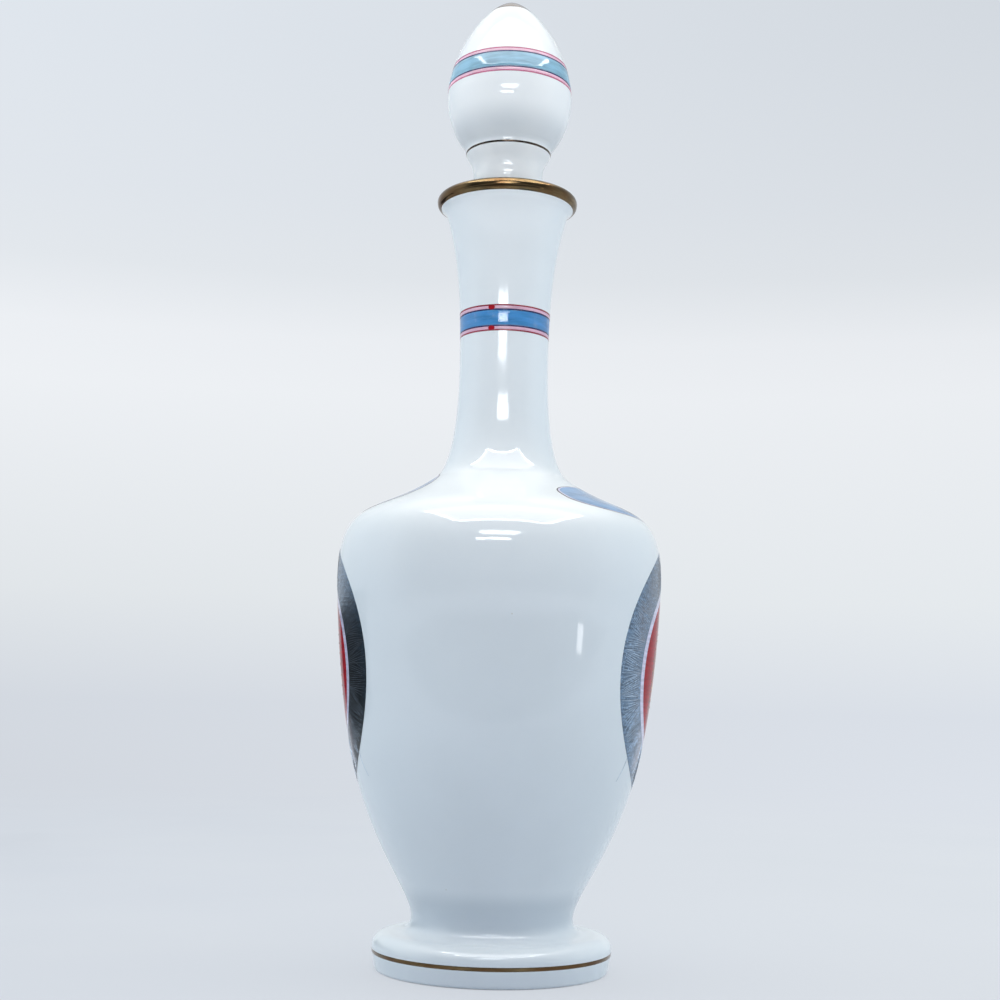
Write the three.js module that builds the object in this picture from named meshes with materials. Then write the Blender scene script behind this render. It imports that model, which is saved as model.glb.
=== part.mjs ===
// A footed porcelain decanter with a tall flared neck and an egg-shaped stopper.
// Everything is turned about one upright axis. Millimetres, +Z up, with the origin at the middle of
// the resting plane. An outline point is (radius, height).
import * as THREE from "three";

// Foot: a cushion-edged disc that stands on a ring round a recessed underside
const FOOT_RADIUS = 35.3;
const FOOT_WIDEST_HEIGHT = 6.9;
const FOOT_THICKNESS = 10.9;
const FOOT_CUSHION = 4.3; // how far the rounded edge reaches in over the top of the foot
const RING_INSET = 1.9; // the resting ring's outer edge, in from the widest part of the foot
const RING_WIDTH = 5.2;
const RING_EDGE = 1; // rounding between the resting ring and the side of the foot
const RECESS_DEPTH = 5;
const RECESS_SLOPE = 5.5; // radial width of the recess's sloping wall

// Body and neck
const WALL = 3;
const WAIST_RADIUS = 24;
const WAIST_RISE = 4.3; // waist above the top of the foot
const BELLY_RADIUS = 49;
const BELLY_RISE = 99.5; // belly above the waist
const NECK_ROOT_RADIUS = 20.6;
const SHOULDER_RISE = 30.6; // root of the neck above the belly
const NECK_RADIUS = 13.7; // outside, at the narrowest
const NECK_ROOT_RISE = 35.8; // narrowest part of the neck above its root
const FLARE_RADIUS = 18.9;
const FLARE_RISE = 48; // foot of the lip above the narrowest part of the neck
const FLOOR_THICKNESS = 4.6;
const FLOOR_CORNER = 6; // rounding between the floor of the bottle and its wall

// Lip of the mouth, turned out over the flare
const LIP_RADIUS = 21.9;
const LIP_UNDERCUT = 0.5; // the lower edge of the lip, in from its widest part
const LIP_UNDER_RISE = 2.7;
const LIP_WIDEST_RISE = 1.6;
const LIP_CREST_RISE = 1.7;
const LIP_CREST_INSET = 1.7;

// Stopper head: an egg on a collar and a short stem
const HEAD_RADIUS = 19.7;
const HEAD_CROWN = 33; // tip above the widest part
const HEAD_BASE = 16.1; // widest part above the collar
const HEAD_WALL = 3;
const COLLAR_RADIUS = 13.6;
const COLLAR_HEIGHT = 8.5;
const COLLAR_GAP = 7.4; // collar above the crest of the lip
const STEM_RADIUS = 10.9; // short stem between the collar and the peg
const STEM_LENGTH = 5.6;

// Cork sleeve on the stopper's peg, and the peg inside it
const CORK_DEPTH = 18; // top of the cork below the crest of the lip
const CORK_LENGTH = 18;
const CORK_THICKNESS = 2.5; // at its thin lower end
const CORK_CHAMFER = 0.6;
const PEG_WALL = 3;
const PEG_REACH = 3.5; // end of the peg below the cork
const PEG_CHAMFER = 0.8;
const CLEARANCE = 0.3; // cork to neck, and cork to peg

// Shapes of the outlines. Each pair is a pull point of a smooth curve, as shares of the way across
// and up between the curve's two ends.
const QUARTER_ROUND = [[0.55, 0], [1, 0.45]];
const RECESS_SHAPE = [[0.5, 0], [0.85, 0.45]];
const FOOT_SIDE_SHAPE = [[0.3, 0.33], [1, 0.7]];
const CUSHION_SHAPE = [[0, 0.53], [0.33, 0.92]];
const FOOT_TOP_SHAPE = [[0.71, 0.02], [1, 0.16]];
const BODY_SHAPE = [[0, 0.069], [0.511, 0.197], [0.76, 0.466], [0.921, 0.64], [1, 0.92]];
const SHOULDER_SHAPE = [[0, 0.787], [0.352, 0.575]];
const NECK_ROOT_SHAPE = [[0.395, 0.053], [1, 0.253]];
const FLARE_SHAPE = [[0, 0.278], [0.08, 0.68]];
const LIP_UNDER_SHAPE = [[0.14, 0.43], [0.56, 0.77]];
const LIP_FACE_SHAPE = [[0.7, 0.2], [1, 0.6]];
const LIP_TOP_SHAPE = [[0, 0.55], [0.45, 1]];
const LIP_INSIDE_SHAPE = [[0.48, 0], [0.83, 0.55]];
const CROWN_SHAPE = [[0.318, 0], [1, 0.502]];
const HEAD_BASE_SHAPE = [[0, 0.05], [0.034, 0.576]];
const COLLAR_SHAPE = [[0.1, 0.45], [0.95, 0.45]];
const STEM_SHAPE = [[0, 0.75], [0.3, 1]];
const THROAT_SHAPE = [[0.26, 0.28], [1, 0.63]];

const SEGMENTS = 40; // facets round the axis

// Heights that follow from the sizes above
const floorHeight = RECESS_DEPTH + FLOOR_THICKNESS;
const waistHeight = FOOT_THICKNESS + WAIST_RISE;
const bellyHeight = waistHeight + BELLY_RISE;
const rootHeight = bellyHeight + SHOULDER_RISE;
const neckHeight = rootHeight + NECK_ROOT_RISE;
const flareHeight = neckHeight + FLARE_RISE;
const lipUnderHeight = flareHeight + LIP_UNDER_RISE;
const lipWidestHeight = lipUnderHeight + LIP_WIDEST_RISE;
const crestHeight = lipWidestHeight + LIP_CREST_RISE;
const corkTop = crestHeight - CORK_DEPTH;
const corkBottom = corkTop - CORK_LENGTH;
const pegEnd = corkBottom - PEG_REACH;
const collarBottom = crestHeight + COLLAR_GAP;
const collarTop = collarBottom + COLLAR_HEIGHT;
const headWidestHeight = collarTop + HEAD_BASE;
const headTip = headWidestHeight + HEAD_CROWN;

const at = (radius, height) => new THREE.Vector2(radius, height);

// Points along the smooth curve from one point to another through a shape's pull points.
function stretch(from, to, shape, steps) {
  const pulls = shape.map(([across, up]) =>
    at(THREE.MathUtils.lerp(from.x, to.x, across), THREE.MathUtils.lerp(from.y, to.y, up)),
  );
  const knots = [from, ...pulls, to];
  const points = [from];
  for (let i = 0; i + 3 < knots.length; i += 3) {
    const curve = new THREE.CubicBezierCurve(...knots.slice(i, i + 4));
    points.push(...curve.getPoints(steps).slice(1));
  }
  return points;
}

// One outline from stretches that each start where the last one ends.
const joined = (...stretches) => stretches.flatMap((points, i) => (i ? points.slice(1) : points));

// The outline moved square to itself by a wall's thickness, to the left of its direction.
function inset(points, wall) {
  return points.map((point, i) => {
    const before = points[Math.max(i - 1, 0)];
    const after = points[Math.min(i + 1, points.length - 1)];
    const along = after.clone().sub(before).normalize();
    return at(point.x - along.y * wall, point.y + along.x * wall);
  });
}

// Radius of a rising outline at a height.
function radiusAt(outline, height) {
  const i = outline.findIndex((point, k) => k > 0 && point.y >= height);
  const low = outline[i - 1];
  const high = outline[i];
  return THREE.MathUtils.mapLinear(height, low.y, high.y, low.x, high.x);
}

// A turned piece, from its outline, named and with its material.
function turned(name, outline, material) {
  const geometry = new THREE.LatheGeometry(outline, SEGMENTS).rotateX(Math.PI / 2);
  const mesh = new THREE.Mesh(geometry, material);
  mesh.name = name;
  return mesh;
}

const porcelain = new THREE.MeshStandardMaterial({ color: 0xe9edf2, roughness: 0.12, metalness: 0 });
const cork = new THREE.MeshStandardMaterial({ color: 0xb98a5a, roughness: 0.9, metalness: 0 });

// The bottle: from the middle of its underside, out over the foot, up the outside to the lip, and
// down the inside to the middle of its floor
const ringOuter = at(FOOT_RADIUS - RING_INSET, 0);
const ringInner = at(ringOuter.x - RING_WIDTH, 0);
const recessEdge = at(ringInner.x - RECESS_SLOPE, RECESS_DEPTH);
const footSide = at(ringOuter.x + RING_EDGE, RING_EDGE);
const footWidest = at(FOOT_RADIUS, FOOT_WIDEST_HEIGHT);
const footTop = at(FOOT_RADIUS - FOOT_CUSHION, FOOT_THICKNESS);
const waist = at(WAIST_RADIUS, waistHeight);
const belly = at(BELLY_RADIUS, bellyHeight);
const neckRoot = at(NECK_ROOT_RADIUS, rootHeight);
const neck = at(NECK_RADIUS, neckHeight);
const flare = at(FLARE_RADIUS, flareHeight);
const lipUnder = at(LIP_RADIUS - LIP_UNDERCUT, lipUnderHeight);
const lipWidest = at(LIP_RADIUS, lipWidestHeight);
const lipCrest = at(LIP_RADIUS - LIP_CREST_INSET, crestHeight);

const underside = joined(
  [at(0, RECESS_DEPTH), recessEdge],
  stretch(recessEdge, ringInner, RECESS_SHAPE, 3),
  [ringInner, ringOuter],
);
const foot = joined(
  stretch(ringOuter, footSide, QUARTER_ROUND, 2),
  stretch(footSide, footWidest, FOOT_SIDE_SHAPE, 2),
  stretch(footWidest, footTop, CUSHION_SHAPE, 4),
  stretch(footTop, waist, FOOT_TOP_SHAPE, 5),
);
const body = joined(
  stretch(waist, belly, BODY_SHAPE, 6),
  stretch(belly, neckRoot, SHOULDER_SHAPE, 8),
  stretch(neckRoot, neck, NECK_ROOT_SHAPE, 4),
  stretch(neck, flare, FLARE_SHAPE, 6),
);
const lip = joined(
  stretch(flare, lipUnder, LIP_UNDER_SHAPE, 2),
  stretch(lipUnder, lipWidest, LIP_FACE_SHAPE, 1),
  stretch(lipWidest, lipCrest, LIP_TOP_SHAPE, 2),
);
const innerWall = inset(body, WALL);
const floorEdge = at(innerWall[0].x - FLOOR_CORNER, floorHeight);
const inside = joined(
  stretch(lipCrest, innerWall.at(-1), LIP_INSIDE_SHAPE, 3),
  innerWall.toReversed(),
  stretch(floorEdge, innerWall[0], QUARTER_ROUND, 3).toReversed(),
  [floorEdge, at(0, floorHeight)],
);
const vessel = turned("vessel", joined(underside, foot, body, lip, inside), porcelain);

// The cork sleeve: its outside follows the neck's bore, and its bore follows the peg
const neckBore = innerWall.filter((point) => point.y >= rootHeight);
const corkRadius = (height) => radiusAt(neckBore, height) - CLEARANCE;
const corkBore = corkRadius(corkBottom) - CORK_THICKNESS;
const corkSide = neckBore
  .filter((point) => point.y > corkBottom + CORK_CHAMFER && point.y < corkTop - CORK_CHAMFER)
  .map((point) => at(point.x - CLEARANCE, point.y));
const corkOutline = [
  at(corkBore, corkBottom),
  at(corkRadius(corkBottom) - CORK_CHAMFER, corkBottom),
  at(corkRadius(corkBottom + CORK_CHAMFER), corkBottom + CORK_CHAMFER),
  ...corkSide,
  at(corkRadius(corkTop - CORK_CHAMFER), corkTop - CORK_CHAMFER),
  at(corkRadius(corkTop) - CORK_CHAMFER, corkTop),
  at(corkBore, corkTop),
  at(corkBore, corkBottom),
];
const corkSleeve = turned("cork_sleeve", corkOutline, cork);

// The stopper: a hollow egg, its collar and stem, and the open-ended peg that carries the cork
const pegRadius = corkBore - CLEARANCE;
const pegBore = pegRadius - PEG_WALL;
const tip = at(0, headTip);
const headWidest = at(HEAD_RADIUS, headWidestHeight);
const headBase = at(COLLAR_RADIUS, collarTop);
const collarEnd = at(STEM_RADIUS, collarBottom);
const pegTop = at(pegRadius, collarBottom - STEM_LENGTH);
const egg = joined(
  stretch(tip, headWidest, CROWN_SHAPE, 9),
  stretch(headWidest, headBase, HEAD_BASE_SHAPE, 5),
);
const collarToPeg = joined(
  stretch(headBase, collarEnd, COLLAR_SHAPE, 5),
  stretch(collarEnd, pegTop, STEM_SHAPE, 3),
  [
    pegTop,
    at(pegRadius, pegEnd + PEG_CHAMFER),
    at(pegRadius - PEG_CHAMFER, pegEnd),
    at(pegBore, pegEnd),
    at(pegBore, collarBottom),
  ],
);
const eggInside = inset(egg, -HEAD_WALL).toReversed();
eggInside.at(-1).x = 0;
const throat = stretch(eggInside[0], at(pegBore, collarBottom), THROAT_SHAPE, 3).toReversed();
const stopperOutline = joined(egg, collarToPeg, throat, eggInside).toReversed();
const stopperHead = turned("stopper_head", stopperOutline, porcelain);

const decanter = new THREE.Group();
decanter.add(vessel, corkSleeve, stopperHead);

export default decanter;
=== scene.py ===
"""A footed porcelain decanter with gilding, enamel bands and an egg-shaped stopper.

Everything is turned about the upright Z axis. Lengths are in metres. An outline point is
(radius, height), and each outline rises from the foot towards the tip.
"""
import math
from bisect import bisect_right
from itertools import accumulate, pairwise

import bmesh
import bpy
from bpy.props import FloatProperty, FloatVectorProperty, IntProperty, PointerProperty
from bpy.types import Operator, Panel, PropertyGroup
from mathutils import Matrix, Vector, noise
from mathutils.geometry import interpolate_bezier


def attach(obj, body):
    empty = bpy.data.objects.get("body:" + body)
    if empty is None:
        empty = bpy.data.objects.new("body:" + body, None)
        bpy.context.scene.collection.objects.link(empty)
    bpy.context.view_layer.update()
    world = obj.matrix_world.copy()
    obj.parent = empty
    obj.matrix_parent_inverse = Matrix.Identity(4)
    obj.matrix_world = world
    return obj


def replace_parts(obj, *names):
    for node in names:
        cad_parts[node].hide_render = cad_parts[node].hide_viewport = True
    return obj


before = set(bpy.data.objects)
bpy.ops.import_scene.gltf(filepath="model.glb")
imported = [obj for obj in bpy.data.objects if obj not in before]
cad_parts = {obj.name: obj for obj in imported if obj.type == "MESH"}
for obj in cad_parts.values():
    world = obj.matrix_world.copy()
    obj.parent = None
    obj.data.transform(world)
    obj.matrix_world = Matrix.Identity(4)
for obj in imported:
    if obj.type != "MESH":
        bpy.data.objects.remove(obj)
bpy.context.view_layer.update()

bl_info = {
    "name": "Porcelain Decanter",
    "version": (1, 0, 0),
    "blender": (4, 5, 0),
    "location": "3D View > Sidebar > Decanter",
    "description": "Builds a footed porcelain decanter with gilding, enamel bands and a stopper",
    "category": "Add Mesh",
}

MM = 0.001
FULL_TURN = math.tau
TURN_STEPS = 160
FLAT_TURN_STEPS = 120
WELD = 0.0005 * MM
SHARP_EDGE = math.radians(48)
NUDGE = 0.01

# Body of the bottle: roundings and small parts of the foot and the lip
RING_INSET = 1.9 * MM
RING_WIDTH = 5.2 * MM
RING_EDGE = 1.0 * MM
RECESS_DEPTH = 5.0 * MM
RECESS_SLOPE = 5.5 * MM
FOOT_CUSHION = 4.3 * MM
FOOT_WIDEST_HEIGHT = 6.9 * MM
FLOOR_THICKNESS = 4.6 * MM
FLOOR_CORNER = 6.0 * MM
LIP_UNDERCUT = 0.5 * MM
LIP_UNDER_RISE = 2.7 * MM
LIP_WIDEST_RISE = 1.6 * MM
LIP_CREST_RISE = 1.7 * MM
LIP_CREST_INSET = 1.7 * MM

# Stopper, peg and cork. Each kind of pit in the cork has a number to the metre and a depth.
STEM_LENGTH = 5.6 * MM
PEG_WALL = 3.0 * MM
PEG_REACH = 3.5 * MM
PEG_CHAMFER = 0.8 * MM
CORK_CHAMFER = 0.6 * MM
CORK_ROWS = 40
CORK_END_RINGS = 5
CORK_PITS = ((900, 0.25 * MM), (2300, 0.12 * MM))
CLEARANCE = 0.3 * MM

# Shapes of smooth curves. Each pair is a pull point, as shares of the way across and up between
# the curve's two ends.
QUARTER_ROUND = [(0.55, 0), (1, 0.45)]
RECESS_SHAPE = [(0.5, 0), (0.85, 0.45)]
THROAT_SHAPE = [(0, 0.37), (0.74, 0.72)]

# Stretches of the outlines, each with the named point where it ends, its steps and its shape
FOOT_STRETCHES = (
    ("foot_side", 6, QUARTER_ROUND),
    ("foot_widest", 6, [(0.3, 0.33), (1, 0.7)]),
    ("foot_top", 14, [(0, 0.53), (0.33, 0.92)]),
    ("waist", 14, [(0.71, 0.02), (1, 0.16)]),
)
BODY_STRETCHES = (
    ("belly", 16, [(0, 0.069), (0.511, 0.197), (0.76, 0.466), (0.921, 0.64), (1, 0.92)]),
    ("root", 16, [(0, 0.787), (0.352, 0.575)]),
    ("neck", 10, [(0.395, 0.053), (1, 0.253)]),
    ("flare", 12, [(0, 0.278), (0.08, 0.68)]),
)
LIP_STRETCHES = (
    ("lip_under", 6, [(0.14, 0.43), (0.56, 0.77)]),
    ("lip_widest", 5, [(0.7, 0.2), (1, 0.6)]),
    ("lip_crest", 6, [(0, 0.55), (0.45, 1)]),
    ("bore_top", 9, [(0.48, 0), (0.83, 0.55)]),
)
STOPPER_STRETCHES = (
    ("stem_end", 12, [(0.7, 0), (1, 0.25)]),
    ("head_base", 18, [(0.05, 0.55), (0.9, 0.55)]),
    ("head_widest", 24, [(0.966, 0.424), (1, 0.95)]),
    ("tip", 48, [(0, 0.498), (0.682, 1)]),
)

# Heights in millimetres of a greyer band of painted shade, at the foot's join with the waist and at the base
# of the stopper's head: where it starts, is full, thins and ends
FOOT_PAINTED_SHADE = (12.2, 15.5, 20, 26)
HEAD_PAINTED_SHADE = (249.4, 251.2, 253.5, 262)
BARE_FADE = 0.35 * MM

# Coats of metal and enamel on the glaze
COAT = 0.04 * MM
COAT_EDGE = 0.12 * MM
RAISED_COAT = 1.5 * COAT
LAP_COAT = 1.9 * COAT
GILT_RELIEF = 0.06 * MM
FLAT_STEP = 1.0 * MM
COLLAR_LINE = 0.65 * MM
COLLAR_LINE_DROP = 1.6 * MM
FOOT_LINE = 1.15 * MM
FOOT_LINE_HEIGHT = 5.6 * MM
LIP_GILDING_INSIDE = 4.6 * MM
LIP_GILDING_BELOW = 0.9 * MM
TIP_GILDING = 8.3 * MM
FINE_LINE = 0.5 * MM
STRIPE = 0.85 * MM
STROKE = 0.22 * MM
THINNEST = 0.025 * MM
LAP_ANGLE = math.radians(-107)
LAP_WIDTH = 2.0 * MM
# Height below which a medallion ring is painted near black as a dark reflection, and the height over which
# that fades
PAINTED_REFLECTION_BELOW = 94 * MM
PAINTED_REFLECTION_FADE = 22 * MM

# Medallions and cartouches. Shares are of the medallion's radius. A sheaf is a number of strokes.
HALO_SHARE = 0.682
FIELD_SHARE = 0.615
ROSETTE_SHARE = 0.30
ROSETTE_PETALS = 12
ROSETTE_BEADS = 24
ROSETTE_BEAD = 0.4 * MM
SHEAF = 9
SHEAF_LEAN = 0.07
UNEVEN_LEAN = 0.03
SPRIG_SHARES = ((0.71, -0.70), (0.74, -0.80), (0.82, -0.89))
CARTOUCHE_SQUARENESS = 3.2
CARTOUCHE_EDGE = 1.4 * FINE_LINE
FAN_RIBS = 6
FAN_RIB_WIDTH = 1.5 * MM
FAN_BEAD = 1.3 * MM

# Fixed colours of materials
WHITE = (1, 1, 1, 1)
BLACK = (0, 0, 0, 1)
SPECK_COLOUR = (0.66, 0.64, 0.61, 1)
# Greyer tone of the painted shade in the glaze at joins
PAINTED_SHADE_COLOUR = (0.80, 0.82, 0.84, 1)
THIN_ENAMEL_COLOUR = (0.66, 0.68, 0.72, 1)
WORN_GILDING_COLOUR = (0.22, 0.17, 0.12, 1)
# Near-black colour of the painted dark reflection on the left medallion's ring
PAINTED_DARK_REFLECTION_COLOUR = (0.012, 0.016, 0.016, 1)
CARD_COLOURS = ((0.06, 0.06, 0.065, 1), (0.10, 0.10, 0.105, 1))
# Floor colours at its left and right: the left is darker, as painted shade
FLOOR_LEFT = (0.635, 0.675, 0.75, 1)
FLOOR_RIGHT = (0.74, 0.77, 0.82, 1)
FLOOR_CLOUD = (0.70, 0.735, 0.79, 1)
HORIZON = (0.68, 0.72, 0.78)
CEILING_MIRRORED = (1.7, 1.7, 1.7, 1)

# Backdrop: upward part of the direction that is looked in, and the colour seen there
BACKDROP = (
    (0.0, HORIZON),
    (0.07, (0.77, 0.805, 0.835)),
    (0.2, (0.84, 0.865, 0.897)),
    (0.235, (0.825, 0.85, 0.885)),
    (0.275, (0.745, 0.78, 0.82)),
    (0.32, (0.72, 0.76, 0.81)),
    (0.41, (0.70, 0.745, 0.80)),
)

# Studio. The ceiling's panel ends at these places, and its bright strips run along its edges.
FLOOR_RADIUS = 4
PANEL_HEIGHT = 0.57
PANEL_NEAR = -0.395
PANEL_LEFT = -0.28
PANEL_RIGHT = 0.32
STRIP_WIDTH = 0.06
FRONT_STRIP = 18
SIDE_STRIP = 14
COOL_LIGHT = (0.93, 0.97, 1)
WARM_LIGHT = (1, 0.92, 0.8)
WARMER_LIGHT = (1, 0.82, 0.68)
FILL_HEIGHT = 0.08

# Tent: angles off the front, and upward parts of the direction, between which its cloth begins
FRONT_OPENING = (math.radians(48), math.radians(88))
ABOVE_OPENING = (0.35, 0.62)
OVERHEAD = (0.60, 0.85)

# Openings of the tent that show as bright bars in the glaze: place, width, height, brightness, aim
OPENINGS = {
    "window_high": ((0, -0.394, 0.324), 0.20, 0.026, 12, (0, 0, 0.16), COOL_LIGHT),
    "window_middle": ((-0.006, -0.394, 0.304), 0.16, 0.016, 12, (0, 0, 0.16), COOL_LIGHT),
    "window_low": ((-0.032, -0.394, 0.2635), 0.16, 0.0145, 20, (0, 0, 0.19), COOL_LIGHT),
    "gap_right": ((0.539, -0.347, 0.032), 0.05, 0.04, 6, (0, 0, 0.096)),
}

# Soft lamps for the neck and for the stopper's head: places, and aim, spread and colour
NECK_FILL_PLACE = (0, -0.30, 0.29)
NECK_FILL_WIDTH = 0.24
NECK_FILL_AIM = ((0, 0, 0.25), math.radians(110), WARM_LIGHT)
HEAD_FILL_PLACES = {"left_fill": (-0.30, -0.04, 0.285), "right_fill": (0.30, -0.04, 0.285)}
HEAD_FILL_WIDTH = 0.12
HEAD_FILL_AIM = ((0, 0, 0.274), math.radians(14), WARMER_LIGHT)

# Dark cards of the studio: place, width, height, and how far each is tipped up and turned
CARDS = {
    "front_card": ((0.3, -0.72, 0.002), 2.4, 0.94, 0, 0),
    "left_card": ((-0.37, 0.26, 0.06), 0.40, 0.12, math.pi / 2, math.radians(55)),
}

# Camera
SENSOR_WIDTH = 36
FOCUS = 1.525
NEAREST_SEEN = 0.01
CAMERA_SHIFT = -0.29 * MM


def length(name, millimetres, description):
    """A size that the user can change, given in millimetres."""
    return FloatProperty(
        name=name, description=description, default=millimetres * MM, min=0, precision=5, unit="LENGTH"
    )


def lengths(name, millimetres, description):
    """Three sizes that the user can change together, given in millimetres."""
    default = [size * MM for size in millimetres]
    return FloatVectorProperty(
        name=name, description=description, default=default, min=0, precision=5, unit="LENGTH"
    )


def tint(name, red, green, blue, description, brightest=1):
    """A colour, or a light's brightness in each colour, that the user can change."""
    default = (red, green, blue)
    return FloatVectorProperty(
        name=name, description=description, default=default, min=0, max=brightest, size=3, subtype="COLOR"
    )


def brightness(name, value, description):
    """The brightness of a lamp, that the user can change."""
    return FloatProperty(name=name, description=description, default=value, min=0)


def turned_by(name, degrees, description):
    """An angle that the user can change, given in degrees."""
    return FloatProperty(name=name, description=description, default=math.radians(degrees), subtype="ANGLE")


class BottleSizes(PropertyGroup):
    """Sizes of the bottle."""

    foot_radius: length("Foot radius", 35.3, "Radius of the foot at its widest")
    foot_thickness: length("Foot thickness", 10.9, "Height of the top of the foot")
    waist_radius: length("Waist radius", 24, "Radius of the waist above the foot")
    waist_rise: length("Waist rise", 4.3, "Height of the waist above the foot")
    belly_radius: length("Belly radius", 49, "Radius of the body at its widest")
    belly_rise: length("Belly rise", 99.5, "Height of the widest part above the waist")
    root_radius: length("Neck root radius", 20.6, "Radius where the shoulder turns into the neck")
    root_rise: length("Shoulder rise", 30.6, "Height of the neck's root above the belly")
    neck_radius: length("Neck radius", 13.7, "Radius of the neck at its narrowest")
    neck_rise: length("Neck rise", 35.8, "Height of the narrowest part above the neck's root")
    flare_radius: length("Flare radius", 18.9, "Radius of the neck under the lip")
    flare_rise: length("Flare rise", 48, "Height of the lip above the narrowest part of the neck")
    lip_radius: length("Lip radius", 21.9, "Radius of the lip at its widest")
    wall: length("Wall", 3, "Thickness of the porcelain")


class StopperSizes(PropertyGroup):
    """Sizes of the stopper and its cork."""

    head_radius: length("Head radius", 19.7, "Radius of the egg-shaped head at its widest")
    head_crown: length("Head crown", 33, "Height of the tip above the widest part")
    head_base: length("Head base", 16.1, "Height of the widest part above the collar")
    head_wall: length("Head wall", 3, "Thickness of the head's porcelain")
    collar_radius: length("Collar radius", 13.6, "Radius of the top of the collar")
    collar_height: length("Collar height", 8.5, "Height of the collar")
    collar_gap: length("Collar gap", 7.4, "Height of the collar above the lip")
    stem_radius: length("Stem radius", 10.9, "Radius of the short stem under the collar")
    cork_depth: length("Cork depth", 18, "Depth of the cork below the lip")
    cork_length: length("Cork length", 18, "Length of the cork")
    cork_thickness: length("Cork thickness", 2.5, "Thickness of the cork at its lower end")


class DecorSizes(PropertyGroup):
    """Places and sizes of the decoration."""

    neck_band_height: length("Neck band height", 193.45, "Height of the middle of the neck's band")
    neck_band_width: length("Neck band width", 4.5, "Width of the blue of the neck's band")
    head_band_height: length("Head band height", 273.6, "Height of the middle of the head's band")
    head_band_width: length("Head band width", 5.0, "Width of the blue of the head's band, along the surface")
    medallion_height: length("Medallion height", 88.2, "Height of the middle of the medallions")
    medallion_radius: length("Medallion radius", 36.4, "Radius of the medallions' outer ring")
    right_turn: turned_by("Right turn", 2, "How far the right medallion is turned back from the side")
    left_turn: turned_by("Left turn", 6.5, "How far the left medallion is turned back from the side")
    ring_strokes: IntProperty(
        name="Ring strokes", description="Gilt strokes round a medallion's outer ring", default=320, min=24
    )
    right_cartouche: lengths("Right cartouche", (37.6, 10.4, 137.4), "Half width and height, middle's height")
    left_cartouche: lengths("Left cartouche", (21.6, 13.3, 139.5), "Half width and height, middle's height")


class Finishes(PropertyGroup):
    """Colours of the porcelain, enamels, gilding and cork."""

    glaze: tint("Glaze", 0.79, 0.82, 0.85, "Colour of the glazed porcelain")
    bisque: tint("Bisque", 0.70, 0.68, 0.64, "Colour of the bare porcelain under the foot")
    blue: tint("Blue", 0.055, 0.22, 0.48, "Colour of the neck band's blue enamel")
    # A paler copy of the blue: partly the head band's own paler enamel, partly painted light for the strong
    # light on the head
    pale_blue: tint("Pale blue", 0.20, 0.38, 0.51, "Colour of the head band's blue enamel")
    navy: tint("Navy", 0.02, 0.018, 0.085, "Colour of the dark lines beside the blue")
    rose: tint("Rose", 0.68, 0.40, 0.52, "Colour of the bands' pale rose stripes")
    crimson: tint("Crimson", 0.26, 0.025, 0.045, "Colour of the neck band's fine red lines")
    plum: tint("Plum", 0.38, 0.07, 0.16, "Colour of the head band's fine red lines")
    steel: tint("Steel", 0.16, 0.24, 0.34, "Colour of the medallions' outer ring")
    lilac: tint("Lilac", 0.56, 0.53, 0.68, "Colour of the pale ring inside it")
    red: tint("Red", 0.32, 0.006, 0.014, "Colour of the medallions' field")
    sky: tint("Sky", 0.17, 0.30, 0.50, "Colour of the shoulder cartouches")
    gold: tint("Gold", 0.17, 0.12, 0.06, "Colour of the gilding")
    silver: tint("Silver", 0.38, 0.47, 0.57, "Colour of the pale strokes on the medallions")
    cork: tint("Cork", 0.52, 0.31, 0.15, "Colour of the cork")


class StageSettings(PropertyGroup):
    """Camera and light of the studio."""

    camera_distance: length("Camera distance", 463.6, "Distance from the camera to the axis")
    camera_height: length("Camera height", 76.3, "Height of the camera")
    camera_pitch: turned_by("Camera pitch", 7.76, "Upward tilt")
    camera_roll: turned_by("Camera roll", 1.25, "Turn about the view")
    top_light: tint("Top light", 1.93, 1.88, 1.7, "Light from the tent overhead", 4)
    side_light: tint("Side light", 1.12, 1.36, 1.5, "Light from the tent's sides and back", 4)
    front_light: tint("Front light", 0.02, 0.13, 0.3, "Light from the open front", 4)
    neck_fill: brightness("Neck fill", 2.5, "Soft lamp in front of the neck and the stopper")
    head_fill: brightness("Head fill", 0.18, "Two narrow lamps beside the stopper's head")
    ceiling_sheen: brightness("Ceiling sheen", 2.6, "Panel overhead, where it is mirrored")


class Outline:
    """An open outline of (radius, height) points, read by the distance along it."""

    def __init__(self, points):
        self.points = points
        self.distances = [0.0, *accumulate((b - a).length for a, b in pairwise(points))]

    def outward(self, i):
        """Direction out of the surface at a point of a rising outline."""
        along = self.points[min(i + 1, len(self.points) - 1)] - self.points[max(i - 1, 0)]
        return Vector((along.y, -along.x)).normalized()

    def place(self, distance):
        """The point at a distance along the outline, and the direction out of the surface there."""
        i = min(max(bisect_right(self.distances, distance), 1), len(self.points) - 1)
        share = (distance - self.distances[i - 1]) / (self.distances[i] - self.distances[i - 1])
        point = self.points[i - 1].lerp(self.points[i], share)
        return point, self.outward(i - 1).lerp(self.outward(i), share).normalized()

    def reach(self, height):
        """Distance at which the outline first rises past a height."""
        i = next(i for i, point in enumerate(self.points) if point.y >= height and i)
        low, high = self.points[i - 1 : i + 1]
        share = (height - low.y) / (high.y - low.y)
        return self.distances[i - 1] + share * (self.distances[i] - self.distances[i - 1])


def at(radius, height):
    """An outline point."""
    return Vector((radius, height))


def between(start, end, count):
    """Points that divide the straight way between two points into a count of steps."""
    return [start.lerp(end, i / count) for i in range(count + 1)]


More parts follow.
